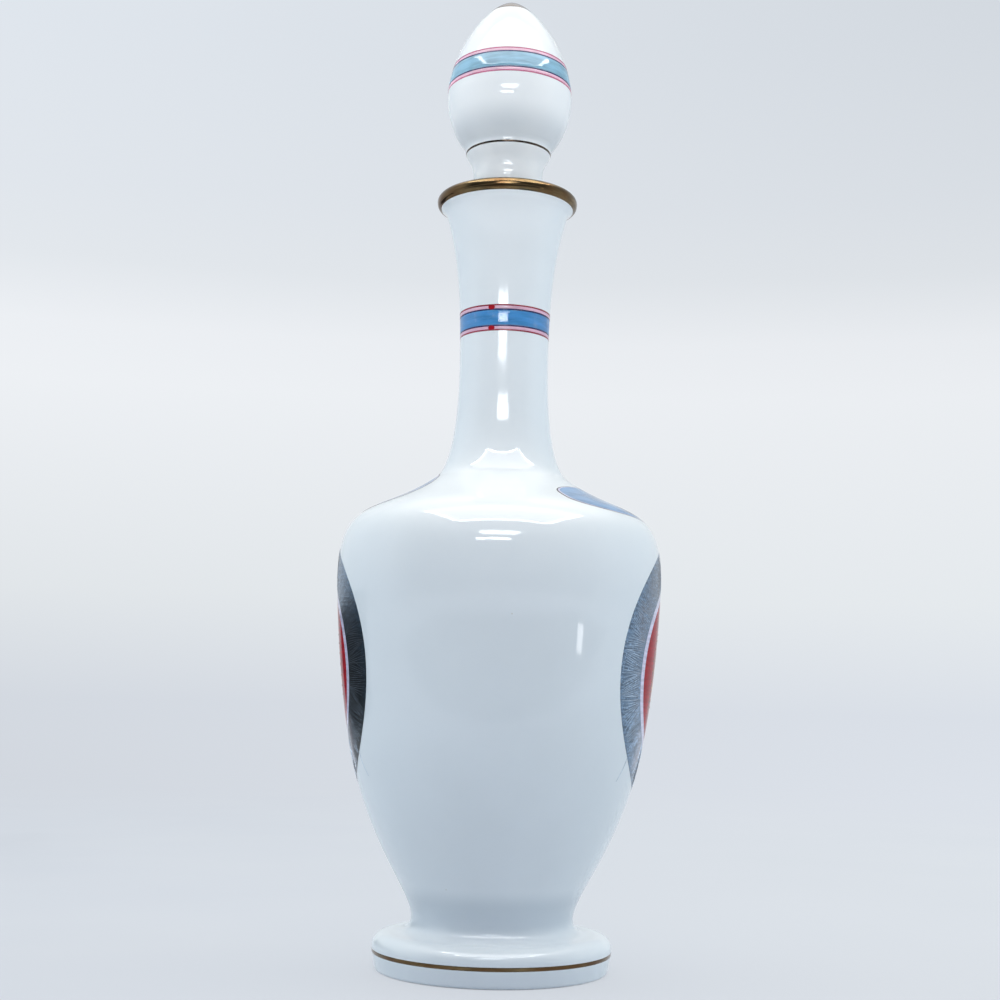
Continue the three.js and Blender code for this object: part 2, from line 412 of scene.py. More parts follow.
def bend(start, end, shape, steps):
    """Points along the smooth curve from one point to another through a shape's pull points."""
    pulls = [at(start.x + (end.x - start.x) * x, start.y + (end.y - start.y) * y) for x, y in shape]
    knots = [start, *pulls, end]
    points = [start]
    for i in range(0, len(knots) - 3, 3):
        points += [point.to_2d() for point in interpolate_bezier(*knots[i : i + 4], steps + 1)[1:]]
    return points


def drawn(points, start, stretches, fine=1):
    """Outline through named points by stretches. A larger fine gives more points."""
    outline = [points[start]]
    for end, steps, shape in stretches:
        outline += bend(points[start], points[end], shape, steps * fine)[1:]
        start = end
    return outline


def joined(*stretches):
    """One outline from stretches that each start where the last one ends."""
    points = list(stretches[0])
    for stretch in stretches[1:]:
        points += stretch[1:]
    return points


def inset(points, wall):
    """The outline moved into the piece, square to itself, by the thickness of a wall."""
    outline = Outline(points)
    return [point - outline.outward(i) * wall for i, point in enumerate(points)]


def bottle_points(sizes):
    """Named points of the bottle's outline."""
    waist_height = sizes.foot_thickness + sizes.waist_rise
    belly_height = waist_height + sizes.belly_rise
    root_height = belly_height + sizes.root_rise
    neck_height = root_height + sizes.neck_rise
    flare_height = neck_height + sizes.flare_rise
    under_height = flare_height + LIP_UNDER_RISE
    widest_height = under_height + LIP_WIDEST_RISE
    ring_outer = at(sizes.foot_radius - RING_INSET, 0)
    return {
        "ring_outer": ring_outer,
        "ring_inner": at(ring_outer.x - RING_WIDTH, 0),
        "recess_edge": at(ring_outer.x - RING_WIDTH - RECESS_SLOPE, RECESS_DEPTH),
        "foot_side": at(ring_outer.x + RING_EDGE, RING_EDGE),
        "foot_widest": at(sizes.foot_radius, FOOT_WIDEST_HEIGHT),
        "foot_top": at(sizes.foot_radius - FOOT_CUSHION, sizes.foot_thickness),
        "waist": at(sizes.waist_radius, waist_height),
        "belly": at(sizes.belly_radius, belly_height),
        "root": at(sizes.root_radius, root_height),
        "neck": at(sizes.neck_radius, neck_height),
        "flare": at(sizes.flare_radius, flare_height),
        "lip_under": at(sizes.lip_radius - LIP_UNDERCUT, under_height),
        "lip_widest": at(sizes.lip_radius, widest_height),
        "lip_crest": at(sizes.lip_radius - LIP_CREST_INSET, widest_height + LIP_CREST_RISE),
    }


def bore_outline(sizes):
    """The bottle's inner wall, from above its floor to under the lip."""
    return inset(drawn(bottle_points(sizes), "waist", BODY_STRETCHES), sizes.wall)


def bottle_side(sizes):
    """The glazed outside of the bottle, from the foot up and over the lip into the mouth."""
    points = {**bottle_points(sizes), "bore_top": bore_outline(sizes)[-1]}
    foot = drawn(points, "ring_outer", FOOT_STRETCHES)
    body = drawn(points, "waist", BODY_STRETCHES, fine=3)
    return Outline(joined(foot, body, drawn(points, "flare", LIP_STRETCHES)))


def stopper_heights(bottle, sizes):
    """Named heights of the ends of the cork, the peg and the collar."""
    crest = bottle_points(bottle)["lip_crest"].y
    cork_bottom = crest - sizes.cork_depth - sizes.cork_length
    collar_bottom = crest + sizes.collar_gap
    return {
        "cork_top": crest - sizes.cork_depth,
        "cork_bottom": cork_bottom,
        "peg_end": cork_bottom - PEG_REACH,
        "collar_bottom": collar_bottom,
        "collar_top": collar_bottom + sizes.collar_height,
    }


def cork_side(bottle, height):
    """Point on the cork's outside at a height, a clearance inside the neck's bore."""
    bore = Outline(bore_outline(bottle))
    return at(bore.place(bore.reach(height))[0].x - CLEARANCE, height)


def stopper_side(bottle, sizes):
    """The glazed outside of the stopper, from the top of the peg to the tip."""
    heights = stopper_heights(bottle, sizes)
    peg_radius = cork_side(bottle, heights["cork_bottom"]).x - sizes.cork_thickness - CLEARANCE
    widest_height = heights["collar_top"] + sizes.head_base
    points = {
        "peg_top": at(peg_radius, heights["collar_bottom"] - STEM_LENGTH),
        "stem_end": at(sizes.stem_radius, heights["collar_bottom"]),
        "head_base": at(sizes.collar_radius, heights["collar_top"]),
        "head_widest": at(sizes.head_radius, widest_height),
        "tip": at(0, widest_height + sizes.head_crown),
    }
    return Outline(drawn(points, "peg_top", STOPPER_STRETCHES))


def coat(outline, start, end, rise=COAT):
    """Closed section of a thin coat between two distances along an outline, thin at its edges."""
    edge = min(COAT_EDGE, (end - start) / 4)
    inner = [distance for distance in outline.distances if start + edge < distance < end - edge]
    places = [outline.place(distance) for distance in (start, start + edge, *inner, end - edge, end)]
    top = [point + out * rise for point, out in places]
    top[0] = places[0][0]
    top[-1] = places[-1][0]
    return top + [point - out * rise for point, out in reversed(places)]


def line(outline, distance, width=FINE_LINE, rise=COAT):
    """Section of a fine line round a turned surface, given the distance of its middle."""
    return coat(outline, distance - width / 2, distance + width / 2, rise)


def turn(bm, section, closed=False, steps=TURN_STEPS):
    """Turns a section of (radius, height) points once about the upright axis."""
    verts = [bm.verts.new((point.x, 0, point.y)) for point in section]
    edges = [bm.edges.new(pair) for pair in pairwise(verts)]
    if closed:
        edges.append(bm.edges.new((verts[-1], verts[0])))
    bmesh.ops.spin(
        bm,
        geom=[*verts, *edges],
        cent=(0, 0, 0),
        axis=(0, 0, 1),
        angle=FULL_TURN,
        steps=steps,
        use_merge=True,
    )


def flat_ring(bm, inner, outer, high=COAT):
    """A ring that lies flat round the axis, or a disc where inner is 0."""
    count = math.ceil((outer - inner) / FLAT_STEP)
    top = between(at(inner, high), at(outer, high), count)
    underside = between(at(outer, -COAT), at(inner, -COAT), count)
    turn(bm, top + underside, closed=inner > 0, steps=FLAT_TURN_STEPS)


def straight(start, end):
    """The straight path between two points, by a share of its length."""
    return lambda share: start.lerp(end, share)


def toward(angle):
    """A flat direction at an angle."""
    return Vector((math.cos(angle), math.sin(angle)))


def blade(bm, path, width, high, cells):
    """A flat leaf or stroke along a path. Path and width take a share of its length, from 0 to 1."""
    verts = bmesh.ops.create_grid(bm, x_segments=cells, y_segments=2, size=0.5)["verts"]
    faces = list({face for vert in verts for face in vert.link_faces})
    for vert in verts:
        share = vert.co.x + 0.5
        along = (path(share + NUDGE) - path(share - NUDGE)).normalized()
        across = Vector((-along.y, along.x))
        vert.co = (path(share) + across * vert.co.y * max(width(share), THINNEST)).to_3d()
    grown = bmesh.ops.extrude_face_region(bm, geom=faces)["geom"]
    tops = [item for item in grown if isinstance(item, bmesh.types.BMVert)]
    bmesh.ops.translate(bm, vec=(0, 0, high), verts=tops)


def bead(bm, centre, radius):
    """A low round bead that lies flat."""
    verts = bmesh.ops.create_icosphere(bm, subdivisions=2, radius=radius)["verts"]
    bmesh.ops.scale(bm, vec=(1, 1, 2 * GILT_RELIEF / radius), verts=verts)
    bmesh.ops.translate(bm, vec=centre.to_3d(), verts=verts)


def lay(bm, outline, angle, height):
    """Lays a flat design on a turned surface, its middle at an angle round it and at a height."""
    middle = outline.reach(height)
    radius = outline.place(middle)[0].x
    for vert in bm.verts:
        point, out = outline.place(middle + vert.co.y)
        point = point + out * vert.co.z
        turned = angle + vert.co.x / radius
        vert.co = (point.x * math.cos(turned), point.x * math.sin(turned), point.y)


def close_up(bm):
    """Welds seams and poles, and points the faces outwards."""
    bmesh.ops.remove_doubles(bm, verts=bm.verts, dist=WELD)
    loose = [vert for vert in bm.verts if not vert.link_faces]
    bmesh.ops.delete(bm, geom=loose, context="VERTS")
    bmesh.ops.recalc_face_normals(bm, faces=bm.faces)


def new_object(name, bm, material):
    """An object in the scene with a mesh of one material."""
    mesh = bpy.data.meshes.new(name)
    bm.to_mesh(mesh)
    bm.free()
    mesh.materials.append(material)
    made = bpy.data.objects.new(name, mesh)
    bpy.context.scene.collection.objects.link(made)
    return made


def piece(name, bm, material, body):
    """Makes a finished, smooth-shaded piece that moves with a body."""
    close_up(bm)
    for face in bm.faces:
        face.smooth = True
    made = new_object(name, bm, material)
    made.data.set_sharp_from_angle(angle=SHARP_EDGE)
    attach(made, body)
    return made


def turned_decor(name, finish_name, body, *sections):
    """A piece of decoration made of closed sections that are each turned once about the axis."""
    bm = bmesh.new()
    for section in sections:
        turn(bm, section, closed=True)
    decorate(name, bm, finish_name, body)


def laid_decor(designs, angle, height, suffix=""):
    """Lays flat designs on the bottle, each a finish, and the function that draws it with its values."""
    outline = bottle_side(bpy.context.scene.decanter_bottle)
    for name, (finish_name, draw, *values) in designs.items():
        bm = bmesh.new()
        draw(bm, *values)
        lay(bm, outline, angle, height)
        decorate(name + suffix, bm, finish_name, "bottle")


def feed(tree, sockets, values):
    """Feeds sockets, given by name or number, with outputs of other nodes or plain values."""
    for socket, value in values.items():
        if isinstance(value, bpy.types.NodeSocket):
            tree.links.new(value, sockets[socket])
        else:
            sockets[socket].default_value = value


def add(tree, kind, values=None, **attributes):
    """A new node with its attributes, and what feeds its inputs."""
    made = tree.nodes.new(kind)
    for name, value in attributes.items():
        setattr(made, name, value)
    feed(tree, made.inputs, values or {})
    return made


def blend_colour(tree, factor, first, second, mode="MIX"):
    """Mixes two colours by a factor."""
    values = {0: factor, 6: first, 7: second}
    mix = add(tree, "ShaderNodeMix", values, data_type="RGBA", blend_type=mode, clamp_factor=True)
    return mix.outputs[2]


def spread(tree, value, low, high, to_low=0.0, to_high=1.0):
    """Stretches an output's range from low and high to two new numbers, smoothly."""
    values = {"Value": value, "From Min": low, "From Max": high, "To Min": to_low, "To Max": to_high}
    return add(tree, "ShaderNodeMapRange", values, interpolation_type="SMOOTHSTEP").outputs["Result"]


def combine(tree, operation, first, second):
    """Result of a sum on two values."""
    return add(tree, "ShaderNodeMath", {0: first, 1: second}, operation=operation).outputs[0]


def scaled(tree, colour, factor):
    """A colour made darker or lighter by a factor that varies."""
    return add(tree, "ShaderNodeVectorMath", {0: colour, "Scale": factor}, operation="SCALE").outputs[0]


def position(tree):
    """Place on the object."""
    return add(tree, "ShaderNodeTexCoord").outputs["Object"]


def axes(tree, coordinates):
    """The three parts of a place or direction, across, ahead and up."""
    return add(tree, "ShaderNodeSeparateXYZ", {"Vector": coordinates}).outputs


def stretched(tree, coordinates, scale):
    """Coordinates that make a pattern finer along an axis where the scale is larger."""
    return add(tree, "ShaderNodeMapping", {"Vector": coordinates, "Scale": scale}).outputs["Vector"]


def noise_at(tree, coordinates, scale, detail=3.0, roughness=0.5):
    """Values of a noise pattern with a number of features to the metre."""
    values = {"Vector": coordinates, "Scale": scale, "Detail": detail, "Roughness": roughness}
    return add(tree, "ShaderNodeTexNoise", values).outputs["Fac"]


def dots(tree, coordinates, scale, inner, outer):
    """Round dots, a number to the metre, that fade between two shares of their spacing."""
    cells = add(tree, "ShaderNodeTexVoronoi", {"Vector": coordinates, "Scale": scale})
    return spread(tree, cells.outputs["Distance"], inner, outer, 1.0, 0.0)


def relief(tree, height, depth):
    """The normal of a height, as relief of a depth in metres."""
    values = {"Strength": 1.0, "Distance": depth, "Height": height}
    return add(tree, "ShaderNodeBump", values).outputs["Normal"]


def shared(store, name, make, *values, **options):
    """The material or node group of a name, made the first time that it is asked for."""
    return store.get(name) or make(name, *values, **options)


def new_group(name, inputs, outputs):
    """A shader node group of numbers, with what its input gives and its output takes."""
    group = bpy.data.node_groups.new(name, "ShaderNodeTree")
    for socket, default in inputs.items():
        made = group.interface.new_socket(name=socket, in_out="INPUT", socket_type="NodeSocketFloat")
        made.default_value = default
    for socket in outputs:
        group.interface.new_socket(name=socket, in_out="OUTPUT", socket_type="NodeSocketFloat")
    return group, group.nodes.new("NodeGroupInput").outputs, group.nodes.new("NodeGroupOutput").inputs


def glaze_group(name):
    """Glaze that has run a little: broad ripples, orange peel, fine specks and clouds."""
    group, given, result = new_group(name, {"Gloss": 0.06}, ("Height", "Roughness", "Cloud", "Speck"))
    place = position(group)
    ripples = noise_at(group, place, 55, detail=1.0)
    peel = combine(group, "MULTIPLY", noise_at(group, place, 900, detail=1.0), 0.02)
    cloud = noise_at(group, place, 26, detail=4.0)
    haze = spread(group, cloud, 0.35, 0.75, 0.0, 0.03)
    rare = combine(group, "GREATER_THAN", noise_at(group, place, 210, detail=0.0), 0.7)
    outputs = {
        "Height": combine(group, "ADD", ripples, peel),
        "Roughness": combine(group, "ADD", haze, given["Gloss"]),
        "Cloud": spread(group, cloud, 0.3, 0.7),
        "Speck": combine(group, "MULTIPLY", dots(group, place, 160, 0.025, 0.05), rare),
    }
    feed(group, result, outputs)
    return group


def brush_group(name):
    """Colour laid on by brush: streaks round the piece, thin places and a slightly uneven gloss."""
    inputs = {"Streak size": 400.0, "Thin places": 0.3, "Gloss": 0.1}
    group, given, result = new_group(name, inputs, ("Streaks", "Patches", "Thin", "Roughness", "Height"))
    place = position(group)
    flattened = stretched(group, place, (0.35, 0.35, 2.6))
    marks = noise_at(group, flattened, given["Streak size"], detail=4.0, roughness=0.6)
    patches = noise_at(group, stretched(group, place, (1.0, 1.0, 0.15)), 90, detail=2.0)
    wear = spread(group, noise_at(group, place, 170, detail=5.0, roughness=0.65), 0.55, 0.8)
    dull = spread(group, marks, 0.25, 0.8, 0.0, 0.06)
    outputs = {
        "Streaks": spread(group, marks, 0.3, 0.7),
        "Patches": spread(group, patches, 0.35, 0.65),
        "Thin": combine(group, "MULTIPLY", wear, given["Thin places"]),
        "Roughness": combine(group, "ADD", dull, given["Gloss"]),
        "Height": marks,
    }
    feed(group, result, outputs)
    return group


def brush_laid(tree, streak_size, thin_places, gloss):
    """What the group of brush-laid colour puts out in a material, for the material's own values."""
    group = shared(bpy.data.node_groups, "brush_laid", brush_group)
    values = {"Streak size": streak_size, "Thin places": thin_places, "Gloss": gloss}
    return add(tree, "ShaderNodeGroup", values, node_tree=group).outputs


def new_material(name):
    """An empty material, its node tree and the inputs of its principled shader."""
    material = bpy.data.materials.new(name)
    material.use_nodes = True
    tree = material.node_tree
    return material, tree, tree.nodes["Principled BSDF"].inputs


def paint(colour):
    """A colour with full alpha."""
    return (*colour, 1.0)


def shade(colour, factor):
    """A colour made darker or lighter."""
    return paint([min(part * factor, 1.0) for part in colour])


def porcelain(name, finishes, painted_shade_heights, bare_height=0.0):
    """Glazed porcelain: cool white with clouds, iron specks, a greyer band of painted shade and a bare end.
    """
    material, tree, surface = new_material(name)
    group = shared(bpy.data.node_groups, "glaze_surface", glaze_group)
    glaze = add(tree, "ShaderNodeGroup", {"Gloss": 0.045}, node_tree=group).outputs
    cloudy = blend_colour(tree, glaze["Cloud"], shade(finishes.glaze, 0.975), shade(finishes.glaze, 1.015))
    speckled = blend_colour(tree, glaze["Speck"], cloudy, SPECK_COLOUR)
    height = axes(tree, position(tree))["Z"]
    # Painted shade: a band of heights is darkened to a greyer tone, at the foot's join and under the
    # stopper's head
    bottom, lower, upper, top = (part * MM for part in painted_shade_heights)
    risen = spread(tree, height, bottom, lower)
    painted_shade_share = combine(tree, "MULTIPLY", risen, spread(tree, height, upper, top, 1.0, 0.0))
    darker = blend_colour(tree, painted_shade_share, WHITE, PAINTED_SHADE_COLOUR)
    glazed = blend_colour(tree, 1.0, speckled, darker, "MULTIPLY")
    bare = spread(tree, height, bare_height, bare_height + BARE_FADE, 1.0, 0.0)
    matt = combine(tree, "MULTIPLY", bare, 0.6)
    values = {
        "Base Color": blend_colour(tree, bare, glazed, paint(finishes.bisque)),
        "Roughness": combine(tree, "ADD", glaze["Roughness"], matt),
        "IOR": 1.52,
        "Normal": relief(tree, glaze["Height"], 0.06 * MM),
    }
    feed(tree, surface, values)
    return material


def enamel(name, colour, thin=0.25, streak=400.0, deep=0.8, pale=1.25, ior=1.5):
    """Enamel fired on the glaze: brushed streaks between a deep and a pale tone, thin in places."""
    material, tree, surface = new_material(name)
    laid = brush_laid(tree, streak, thin, gloss=0.03)
    streaked = blend_colour(tree, laid["Streaks"], shade(colour, deep), shade(colour, pale))
    patchy = combine(tree, "MULTIPLY", laid["Patches"], 0.35)
    uneven = blend_colour(tree, patchy, streaked, shade(colour, 1.5))
    values = {
        "Base Color": blend_colour(tree, laid["Thin"], uneven, THIN_ENAMEL_COLOUR),
        "Roughness": laid["Roughness"],
        "IOR": ior,
        "Normal": relief(tree, laid["Height"], 0.012 * MM),
    }
    feed(tree, surface, values)
    return material


def gilding(name, colour, wear=0.5, under=WORN_GILDING_COLOUR):
    """Burnished gold: brush marks, redder and browner places, and thin places where the glaze shows."""
    material, tree, surface = new_material(name)
    laid = brush_laid(tree, 620.0, wear, gloss=0.14)
    metal = blend_colour(tree, laid["Streaks"], shade(colour, 0.65), shade(colour, 1.25))
    brown = paint((colour[0] * 0.75, colour[1] * 0.5, colour[2] * 0.4))
    toned = blend_colour(tree, combine(tree, "MULTIPLY", laid["Patches"], 0.7), metal, brown)
    worn = spread(tree, laid["Thin"], 0.2, 0.5)
    values = {
        "Base Color": blend_colour(tree, worn, toned, under),
        "Metallic": spread(tree, worn, 0.0, 1.0, 1.0, 0.35),
        "Roughness": laid["Roughness"],
        "Normal": relief(tree, laid["Height"], 0.02 * MM),
    }
    feed(tree, surface, values)
    return material


def lustre(name, colour, painted_dark_reflection=0.0):
    """Metallic lustre on the glaze: a dark mirror with brushed streaks, clouds, pale flecks and a painted
    dark reflection low down.
    """
    material, tree, surface = new_material(name)
    laid = brush_laid(tree, 700.0, 0.5, gloss=0.14)
    streaked = blend_colour(tree, laid["Streaks"], shade(colour, 0.5), shade(colour, 1.2))
    place = position(tree)
    flecks = spread(tree, noise_at(tree, place, 1500, detail=2.0), 0.54, 0.7, 0.0, 0.7)
    flecked = blend_colour(tree, flecks, streaked, shade(colour, 2.2))
    bright = blend_colour(tree, laid["Thin"], flecked, shade(colour, 1.7))
    height = axes(tree, place)["Z"]
    # Painted dark reflection: below a height the lustre is darkened to near black, as the mirrored image of a
    # dark room
    painted_reflection_share = spread(tree, height, PAINTED_REFLECTION_BELOW, PAINTED_REFLECTION_BELOW + PAINTED_REFLECTION_FADE, painted_dark_reflection, 0.0)
    painted_reflection_mask = combine(tree, "MULTIPLY", painted_reflection_share, spread(tree, laid["Patches"], 0.0, 1.0, 1.0, 0.75))
    values = {
        "Base Color": blend_colour(tree, painted_reflection_mask, bright, PAINTED_DARK_REFLECTION_COLOUR),
        "Metallic": 0.7,
        "Roughness": laid["Roughness"],
        "Normal": relief(tree, laid["Height"], 0.03 * MM),
    }
    feed(tree, surface, values)
    return material


def cork_material(name, colour):
    """Cut cork: mottled grain, dark pores and short slots that run round it."""
    material, tree, surface = new_material(name)
    place = position(tree)
    grain = noise_at(tree, place, 700, detail=6.0, roughness=0.7)
    mottled = blend_colour(tree, spread(tree, grain, 0.3, 0.7), shade(colour, 0.6), shade(colour, 1.25))
    slots = noise_at(tree, stretched(tree, place, (0.45, 0.45, 2.2)), 330, detail=2.0)
    pores = combine(tree, "MULTIPLY", dots(tree, place, 1100, 0.12, 0.22), 0.6)
    holes = combine(tree, "MAXIMUM", spread(tree, slots, 0.63, 0.7), pores)
    raised = combine(tree, "SUBTRACT", combine(tree, "MULTIPLY", grain, 0.5), holes)
    values = {
        "Base Color": blend_colour(tree, holes, mottled, shade(colour, 0.16)),
        "Roughness": spread(tree, grain, 0.2, 0.8, 0.78, 0.95),
        "Normal": relief(tree, raised, 0.25 * MM),
    }
    feed(tree, surface, values)
    return material


# Finishes of the decoration: slot, what makes it, its colour or the setting that holds it, and options
DECOR_FINISHES = {
    "burnished_gold": ("gilding", gilding, "gold", {}),
    "bright_gold": ("gilding", gilding, (0.46, 0.31, 0.13), {"wear": 0.25}),
    "worn_gold": ("gilding", gilding, (0.13, 0.115, 0.10), {"wear": 1.0, "under": (0.3, 0.29, 0.3, 1)}),
    "greyed_gold": ("gilding", gilding, (0.14, 0.13, 0.12), {"wear": 0.9}),
    "pale_gilding": ("gilding", gilding, "silver", {"wear": 0.3, "under": (0.24, 0.36, 0.51, 1)}),
    "blue_enamel": ("blue_enamel", enamel, "blue", {"streak": 300.0}),
    # Painted light: the head band's blue is a paler copy of the neck band's blue
    "pale_blue_enamel": ("blue_enamel", enamel, "pale_blue", {"thin": 0.5, "streak": 300.0}),
    "navy_enamel": ("blue_enamel", enamel, "navy", {"thin": 0.1}),
    "sky_enamel": ("blue_enamel", enamel, "sky", {"thin": 0.2, "streak": 220.0}),
    "grey_blue_enamel": ("blue_enamel", enamel, (0.55, 0.61, 0.68), {"thin": 0.8}),
    "steel_lustre_right": ("blue_enamel", lustre, "steel", {}),
    # The left ring carries the painted dark reflection
    "steel_lustre_left": ("blue_enamel", lustre, "steel", {"painted_dark_reflection": 0.95}),
    "rose_enamel": ("rose_enamel", enamel, "rose", {"thin": 0.5, "deep": 0.85, "pale": 1.15}),
    "lilac_enamel": ("rose_enamel", enamel, "lilac", {}),
    "crimson_enamel": ("red_enamel", enamel, "crimson", {"thin": 0.15}),
    "plum_enamel": ("red_enamel", enamel, "plum", {"thin": 0.3}),
    "lap_enamel": ("red_enamel", enamel, "red", {}),
    "red_enamel": ("red_enamel", enamel, "red", {"thin": 0.02, "ior": 1.12}),
}


def decorate(name, bm, finish_name, body):
    """Makes a piece of the decoration, with the material of its finish."""
    slot, make, colour, options = DECOR_FINISHES[finish_name]
    if isinstance(colour, str):
        colour = getattr(bpy.context.scene.decanter_finishes, colour)
    piece(name, bm, shared(bpy.data.materials, finish_name, make, colour, **options), body)


class DECANTER_OT_bottle(Operator):
    """Turn the porcelain bottle, from its recessed foot to its lip and down inside to its floor"""

    bl_idname = "decanter.bottle"
    bl_label = "Bottle"

    def execute(self, context):
        sizes = context.scene.decanter_bottle
        points = bottle_points(sizes)
        edge = points["recess_edge"]
        bore = bore_outline(sizes)
        floor_height = RECESS_DEPTH + FLOOR_THICKNESS
        floor_edge = at(bore[0].x - FLOOR_CORNER, floor_height)
        underside = joined(
            between(at(0, RECESS_DEPTH), edge, 2),
            bend(edge, points["ring_inner"], RECESS_SHAPE, 10),
            [points["ring_inner"], points["ring_outer"]],
        )
        corner = bend(floor_edge, bore[0], QUARTER_ROUND, 8)
        inside = joined(bore[::-1], corner[::-1], [floor_edge, at(0, floor_height)])
        bm = bmesh.new()
        turn(bm, joined(underside, bottle_side(sizes).points, inside))
        glazed = porcelain("glazed_porcelain", context.scene.decanter_finishes, FOOT_PAINTED_SHADE)
        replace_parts(piece("bottle_shell", bm, glazed, "bottle"), "vessel")
        return {"FINISHED"}


class DECANTER_OT_stopper(Operator):
    """Turn the stopper's hollow egg-shaped head, its collar and its open peg"""

    bl_idname = "decanter.stopper"
    bl_label = "Stopper"

    def execute(self, context):
        bottle = context.scene.decanter_bottle
        sizes = context.scene.decanter_stopper
        side = stopper_side(bottle, sizes)
        heights = stopper_heights(bottle, sizes)
        peg_end = heights["peg_end"]
        head_start = side.reach(heights["collar_top"])
        egg = [point for point, reach in zip(side.points, side.distances) if reach >= head_start - WELD]
        egg_inside = inset(egg, sizes.head_wall)
        egg_inside[-1].x = 0
        peg_radius = side.points[0].x
        peg_bore = peg_radius - PEG_WALL
        bore_top = at(peg_bore, heights["collar_bottom"])
        peg = [
            bore_top,
            at(peg_bore, peg_end + PEG_CHAMFER / 2),
            at(peg_bore + PEG_CHAMFER / 2, peg_end),
            at(peg_radius - PEG_CHAMFER, peg_end),
            at(peg_radius, peg_end + PEG_CHAMFER),
            side.points[0],
        ]
        throat = bend(bore_top, egg_inside[0], THROAT_SHAPE, 10)
        bm = bmesh.new()
        turn(bm, joined(egg_inside[::-1], throat[::-1], peg, side.points))
        finishes = context.scene.decanter_finishes
        glazed = porcelain("glazed_porcelain_stopper", finishes, HEAD_PAINTED_SHADE, bare_height=peg_end)
        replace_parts(piece("stopper_shell", bm, glazed, "stopper"), "stopper_head")
        return {"FINISHED"}


class DECANTER_OT_cork(Operator):
    """Turn the tapered cork sleeve and roughen it as cut cork is"""

    bl_idname = "decanter.cork"
    bl_label = "Cork"

    def execute(self, context):
        bottle = context.scene.decanter_bottle
        sizes = context.scene.decanter_stopper
        heights = stopper_heights(bottle, sizes)
        top = cork_side(bottle, heights["cork_top"])
        bottom = cork_side(bottle, heights["cork_bottom"])
        bore = bottom.x - sizes.cork_thickness
        chamfer = at(CORK_CHAMFER, 0)
        lowest = bottom.y + CORK_CHAMFER
        rise = top.y - bottom.y - 2 * CORK_CHAMFER
        outside = [cork_side(bottle, lowest + rise * i / CORK_ROWS) for i in range(CORK_ROWS + 1)]
        top_ring = between(top - chamfer, at(bore, top.y), CORK_END_RINGS)
        bottom_ring = between(at(bore, bottom.y), bottom - chamfer, CORK_END_RINGS)
        bm = bmesh.new()
        turn(bm, [*bottom_ring, *outside, *top_ring], closed=True)
        close_up(bm)
        for vert in bm.verts:
            if vert.co.xy.length > bore + WELD:
                depth = sum(max(noise.noise(vert.co * fine), 0) * deep for fine, deep in CORK_PITS)
                vert.co -= vert.normal * depth
        cut = cork_material("cut_cork", context.scene.decanter_finishes.cork)
        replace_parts(piece("cork_ring", bm, cut, "cork"), "cork_sleeve")
        return {"FINISHED"}


class DECANTER_OT_gilt_lines(Operator):
    """Gild the lip, the foot's line, the collar's line and the tip of the stopper"""

    bl_idname = "decanter.gilt_lines"
    bl_label = "Gilding"

    def execute(self, context):
        bottle = context.scene.decanter_bottle
        stopper = context.scene.decanter_stopper
        side = bottle_side(bottle)
        points = bottle_points(bottle)
        lip_start = side.reach(points["lip_under"].y) - LIP_GILDING_BELOW
        lip_end = side.reach(points["lip_crest"].y - WELD) + LIP_GILDING_INSIDE
        turned_decor("lip_gilding", "burnished_gold", "bottle", coat(side, lip_start, lip_end))
        foot_line = line(side, side.reach(FOOT_LINE_HEIGHT), FOOT_LINE)
        turned_decor("foot_gilt_line", "burnished_gold", "bottle", foot_line)
        head = stopper_side(bottle, stopper)
        joint = head.reach(stopper_heights(bottle, stopper)["collar_top"] - COLLAR_LINE_DROP)
        turned_decor("collar_gilt_line", "worn_gold", "stopper", line(head, joint, COLLAR_LINE))
        tip = head.distances[-1]
        tip_height = head.points[-1].y
        cap = coat(head, tip - TIP_GILDING, tip)
        half = len(cap) // 2
        crown = [at(0, tip_height + COAT), *reversed(cap[: half - 1]), *reversed(cap[half + 1 :])]
        bm = bmesh.new()
        turn(bm, [*crown, at(0, tip_height - COAT)])
        decorate("tip_gilding", bm, "greyed_gold", "stopper")
        return {"FINISHED"}


def enamel_band(prefix, body, outline, height, width, blue, red):
    """A blue band between two rose stripes, each stripe edged by a dark and a red line."""
    middle = outline.reach(height)
    half = width / 2
    dark = half + FINE_LINE / 2
    stripe = dark + FINE_LINE / 2 + STRIPE / 2
    edge = stripe + STRIPE / 2 + FINE_LINE / 2
    turned_decor(f"{prefix}_blue", blue, body, coat(outline, middle - half, middle + half))
    pairs = {
        "navy_lines": ("navy_enamel", dark, FINE_LINE, RAISED_COAT),
        "rose_stripes": ("rose_enamel", stripe, STRIPE, COAT),
        "red_lines": (red, edge, FINE_LINE, RAISED_COAT),
    }
    for name, (finish_name, offset, line_width, rise) in pairs.items():
        sections = [line(outline, middle + side * offset, line_width, rise) for side in (-1, 1)]
        turned_decor(f"{prefix}_{name}", finish_name, body, *sections)


def swelling(width, ends, swell):
    """Width of a stroke along its length, from a share at its ends to a share more at its middle."""
    return lambda share: width * (ends + swell * math.sin(share * math.pi))


def laps(bm, stripe):
    """Two short strokes across the band's stripes, one on each side of its middle."""
    for up in (-stripe, stripe):
        path = straight(Vector((-LAP_WIDTH / 2, up)), Vector((LAP_WIDTH / 2, up)))
        blade(bm, path, swelling(STRIPE + FINE_LINE, 0.45, 0.6), LAP_COAT, cells=6)


